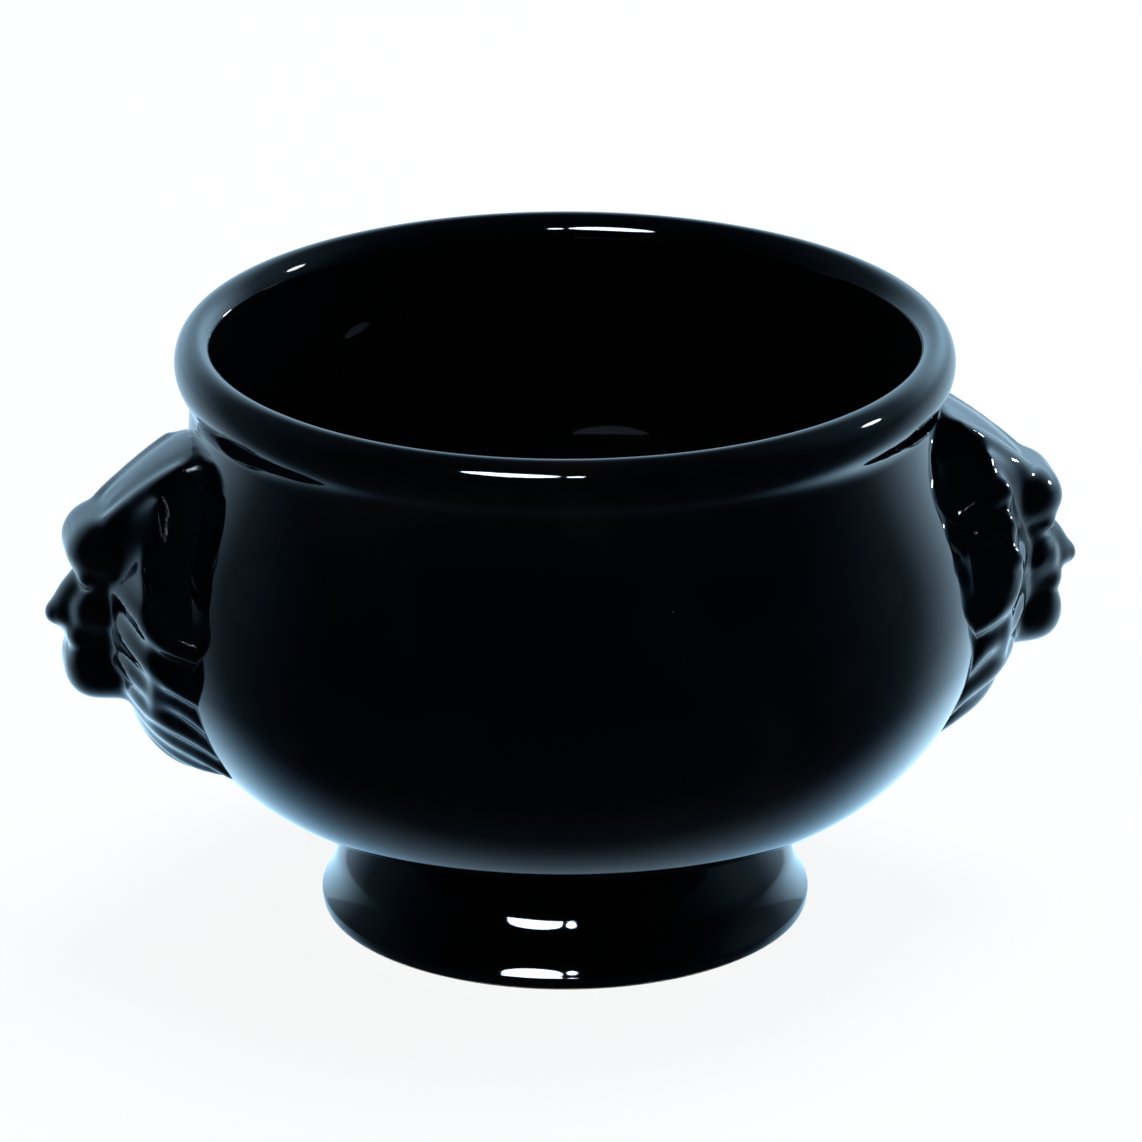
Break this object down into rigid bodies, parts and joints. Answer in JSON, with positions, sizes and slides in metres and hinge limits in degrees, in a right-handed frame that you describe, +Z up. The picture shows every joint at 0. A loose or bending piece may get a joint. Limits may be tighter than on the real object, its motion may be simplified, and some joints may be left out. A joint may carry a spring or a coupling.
{
  "type": "soup crock",
  "caption": "Round-bellied glazed soup bowl with a rolled rim and a hollow pedestal foot, for gratinated onion soup, with lion-head handles luted to its sides.",
  "frame": {"origin": "centre of the foot's resting ring, on the table", "axes": "+Z up through the middle of the mouth; the lion heads face +X and -X"},
  "size_m": [0.1552, 0.1226, 0.089],
  "materials": {
    "glaze": "high gloss",
    "slip": "matte"
  },
  "bodies": {
    "root": {"bowl": "glaze", "foot": "glaze", "foot_slip_joint": "slip", "left_lion_head": "glaze", "left_slip_joint": "slip", "right_lion_head": "glaze", "right_slip_joint": "slip"}
  },
  "joints": []
}
